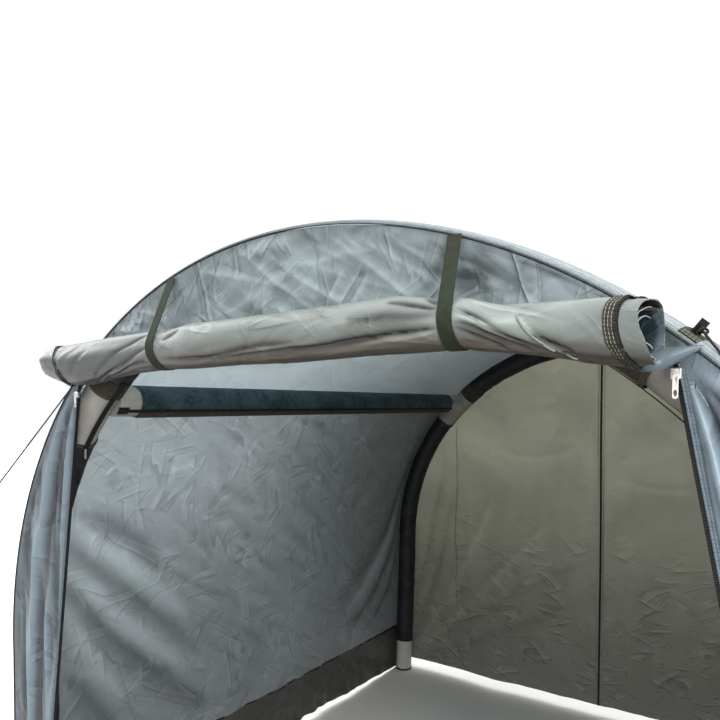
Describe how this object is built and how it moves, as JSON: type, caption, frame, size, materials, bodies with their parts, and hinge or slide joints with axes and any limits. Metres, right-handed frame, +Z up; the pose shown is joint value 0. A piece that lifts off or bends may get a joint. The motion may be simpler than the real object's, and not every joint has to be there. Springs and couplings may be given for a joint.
{
  "type": "inflatable utility tent",
  "caption": "Free-standing air-beam storage tent with a rolled-up front door, zipped rear wall, shoulder braces and guy lines.",
  "frame": {"origin": "on the ground, at the middle of the tent's footprint", "axes": "+X to the right seen from the door, +Y from the door towards the rear wall, +Z up"},
  "size_m": [4.1446, 3.9288, 2.0553],
  "materials": {
    "tent_fabric": "satin coated polyester, creased",
    "inner_wall_fabric": "satin coated polyester, creased",
    "beam_sleeve": "woven polyester sleeve, wrinkled",
    "brace_sleeve": "woven polyester sleeve",
    "air_bladder": "translucent light grey film",
    "foot_rubber": "matt",
    "webbing": "olive polypropylene webbing",
    "black_webbing": "black polypropylene webbing",
    "zip_tape": "black coil zip on woven tape",
    "guy_cord": "black braided cord",
    "bright_metal": "bright plated",
    "peg_steel": "galvanised"
  },
  "bodies": {
    "tent": {"front_arch_bladder": "air_bladder", "front_left_sleeve": "beam_sleeve", "front_top_sleeve": "beam_sleeve", "front_right_sleeve": "beam_sleeve", "front_left_foot_pad": "foot_rubber", "front_right_foot_pad": "foot_rubber", "rear_arch_bladder": "air_bladder", "rear_left_sleeve": "beam_sleeve", "rear_top_sleeve": "beam_sleeve", "rear_right_sleeve": "beam_sleeve", "rear_left_foot_pad": "foot_rubber", "rear_right_foot_pad": "foot_rubber", "left_brace_bladder": "air_bladder", "left_brace_sleeve": "brace_sleeve", "right_brace_bladder": "air_bladder", "right_brace_sleeve": "brace_sleeve", "roof_panel": "tent_fabric", "left_wall": "tent_fabric", "right_wall": "tent_fabric", "left_skirt": "tent_fabric", "right_skirt": "tent_fabric", "rear_wall_left": "inner_wall_fabric", "rear_wall_right": "inner_wall_fabric", "rear_zip": "zip_tape", "front_gable": "tent_fabric", "front_left_wing": "tent_fabric", "front_right_wing": "tent_fabric", "left_door_zip": "zip_tape", "right_door_zip": "zip_tape", "door_roll": "tent_fabric", "left_roll_strap": "webbing", "right_roll_strap": "webbing", "front_left_guy_loop": "webbing", "front_left_guy_line": "guy_cord", "front_left_peg": "peg_steel", "front_right_guy_loop": "webbing", "front_right_guy_line": "guy_cord", "front_right_peg": "peg_steel", "rear_left_guy_loop": "webbing", "rear_left_guy_line": "guy_cord", "rear_left_peg": "peg_steel", "rear_right_guy_loop": "webbing", "rear_right_guy_line": "guy_cord", "rear_right_peg": "peg_steel", "left_zip_slider": "bright_metal", "right_zip_slider": "bright_metal"},
    "left_pull": {"left_zip_pull": "bright_metal"},
    "right_pull": {"right_zip_pull": "bright_metal"}
  },
  "joints": [
    {"name": "left_pull_swing", "type": "hinge", "parent": "tent", "child": "left_pull", "pos_m": [-0.77277, -1.2545, 1.712], "axis": [-1, 0, 0], "range_deg": [0, 80]},
    {"name": "right_pull_swing", "type": "hinge", "parent": "tent", "child": "right_pull", "pos_m": [0.77277, -1.2545, 1.712], "axis": [-1, 0, 0], "range_deg": [0, 80]}
  ]
}
